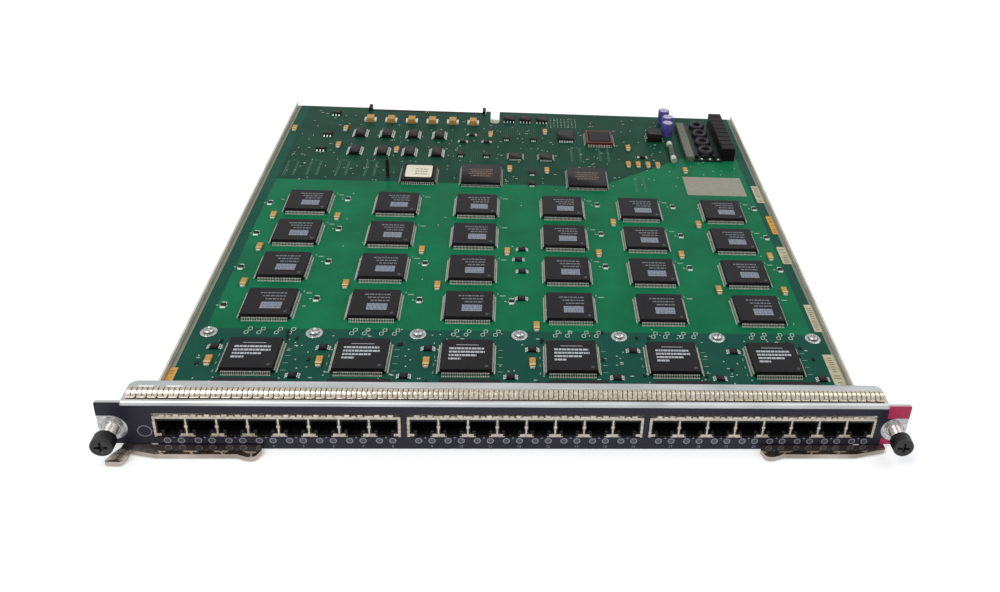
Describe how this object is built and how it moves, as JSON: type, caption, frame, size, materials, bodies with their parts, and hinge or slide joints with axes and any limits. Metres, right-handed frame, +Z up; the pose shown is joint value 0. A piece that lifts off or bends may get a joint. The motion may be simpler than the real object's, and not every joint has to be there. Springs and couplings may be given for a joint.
{
  "type": "switch line card",
  "caption": "Plug-in network card: row of port sockets in a dark front panel with thumbscrews and ejector levers, chip-covered board in a sheet tray",
  "frame": {"origin": "middle of the panel's width, on the rear face of the panel that seats on the chassis, at the underside of the card", "axes": "+X along the front panel to the right as seen from the front, +Y from the panel to the backplane connector, +Z up through the board"},
  "size_m": [0.3872, 0.3981, 0.0302],
  "materials": {
    "connector_mould": "beige moulding",
    "screw_steel": "plated steel",
    "can_sleeve": "purple sleeve",
    "tray_steel": "zinc plated sheet",
    "tantalum_case": "yellow moulded case",
    "lead_metal": "tinned leads",
    "chip_mould": "chip moulding compound",
    "socket_mould": "red-brown socket",
    "board_laminate": "green solder mask",
    "connector_capacitor_case": "orange moulded case",
    "block_case": "black potted case",
    "coil_core": "dark coil",
    "strip_mould": "beige strip",
    "lever_nickel": "nickel plated bar",
    "gasket_spring": "bright spring sheet",
    "panel_steel": "zinc plated sheet",
    "fuse_tube": "grey tube",
    "inductor_case": "ferrite",
    "contact_metal": "plated contact springs",
    "jack_mould": "black moulding",
    "shield_tin": "tinned brass sheet",
    "bracket_steel": "plated sheet",
    "rivet_steel": "plated steel",
    "clear_guide": "clear moulded light guide",
    "light_body": "small light",
    "ferrite_case": "moulded case",
    "accent_film": "crimson printed film",
    "overlay_film": "dark printed film",
    "label_paper": "plain paper",
    "power_case": "moulding",
    "ring_steel": "spring steel",
    "bush_steel": "turned and plated",
    "washer_steel": "plated steel",
    "standoff_steel": "plated steel",
    "post_plastic": "dark post",
    "thumbscrew_black": "black head",
    "ceramic": "ceramic body"
  },
  "bodies": {
    "card": {"backplane_connector": "connector_mould", "board_screws": "screw_steel", "capacitor_cans": "can_sleeve", "carrier_tray": "tray_steel", "chip_capacitors": "tantalum_case", "chip_leads": "lead_metal", "chip_row_1": "chip_mould", "chip_row_2": "chip_mould", "chip_row_3": "chip_mould", "chip_row_4": "chip_mould", "chip_sockets": "socket_mould", "circuit_board": "board_laminate", "connector_capacitors": "connector_capacitor_case", "connector_pins": "lead_metal", "controllers": "chip_mould", "converter_block": "block_case", "converter_coils": "coil_core", "converter_strip": "strip_mould", "driver_chips": "chip_mould", "emi_gasket": "gasket_spring", "front_chips": "chip_mould", "front_panel": "panel_steel", "fuse": "fuse_tube", "inductor": "inductor_case", "jack_contacts": "contact_metal", "jack_housing_centre": "jack_mould", "jack_housing_left": "jack_mould", "jack_housing_right": "jack_mould", "jack_shield_centre": "shield_tin", "jack_shield_left": "shield_tin", "jack_shield_right": "shield_tin", "lever_brackets": "bracket_steel", "lever_rivets": "rivet_steel", "light_guides": "clear_guide", "lights": "light_body", "magnetics": "ferrite_case", "overlay_accent": "accent_film", "panel_overlay": "overlay_film", "plain_labels": "label_paper", "power_transistors": "power_case", "rear_capacitors": "tantalum_case", "screw_bushes": "bush_steel", "screw_washers": "washer_steel", "small_circuits": "chip_mould", "small_outline_chips": "chip_mould", "socketed_chips": "chip_mould", "standoffs": "standoff_steel", "test_post": "post_plastic", "two_pad_parts": "ceramic"},
    "screw_left": {"thumbscrew_left": "thumbscrew_black"},
    "screw_right": {"thumbscrew_right": "thumbscrew_black"},
    "ring_left": {"retaining_ring_left": "ring_steel"},
    "ring_right": {"retaining_ring_right": "ring_steel"},
    "lever_left": {"ejector_lever_left": "lever_nickel"},
    "lever_right": {"ejector_lever_right": "lever_nickel"}
  },
  "joints": [
    {"name": "screw_slide_left", "type": "slide", "parent": "card", "child": "ring_left", "axis": [0, 1, 0], "range_m": [0, 0.0045]},
    {"name": "screw_turn_left", "type": "hinge", "parent": "ring_left", "child": "screw_left", "pos_m": [-0.18773, 0, 0.0127], "axis": [0, 1, 0], "continuous": true},
    {"name": "screw_slide_right", "type": "slide", "parent": "card", "child": "ring_right", "axis": [0, 1, 0], "range_m": [0, 0.0045]},
    {"name": "screw_turn_right", "type": "hinge", "parent": "ring_right", "child": "screw_right", "pos_m": [0.18773, 0, 0.0127], "axis": [0, 1, 0], "continuous": true},
    {"name": "lever_swing_left", "type": "hinge", "parent": "card", "child": "lever_left", "pos_m": [-0.17853, 0.0052, 0], "axis": [0, 0, 1], "range_deg": [-60, 0]},
    {"name": "lever_swing_right", "type": "hinge", "parent": "card", "child": "lever_right", "pos_m": [0.17853, 0.0052, 0], "axis": [0, 0, 1], "range_deg": [0, 60]}
  ]
}
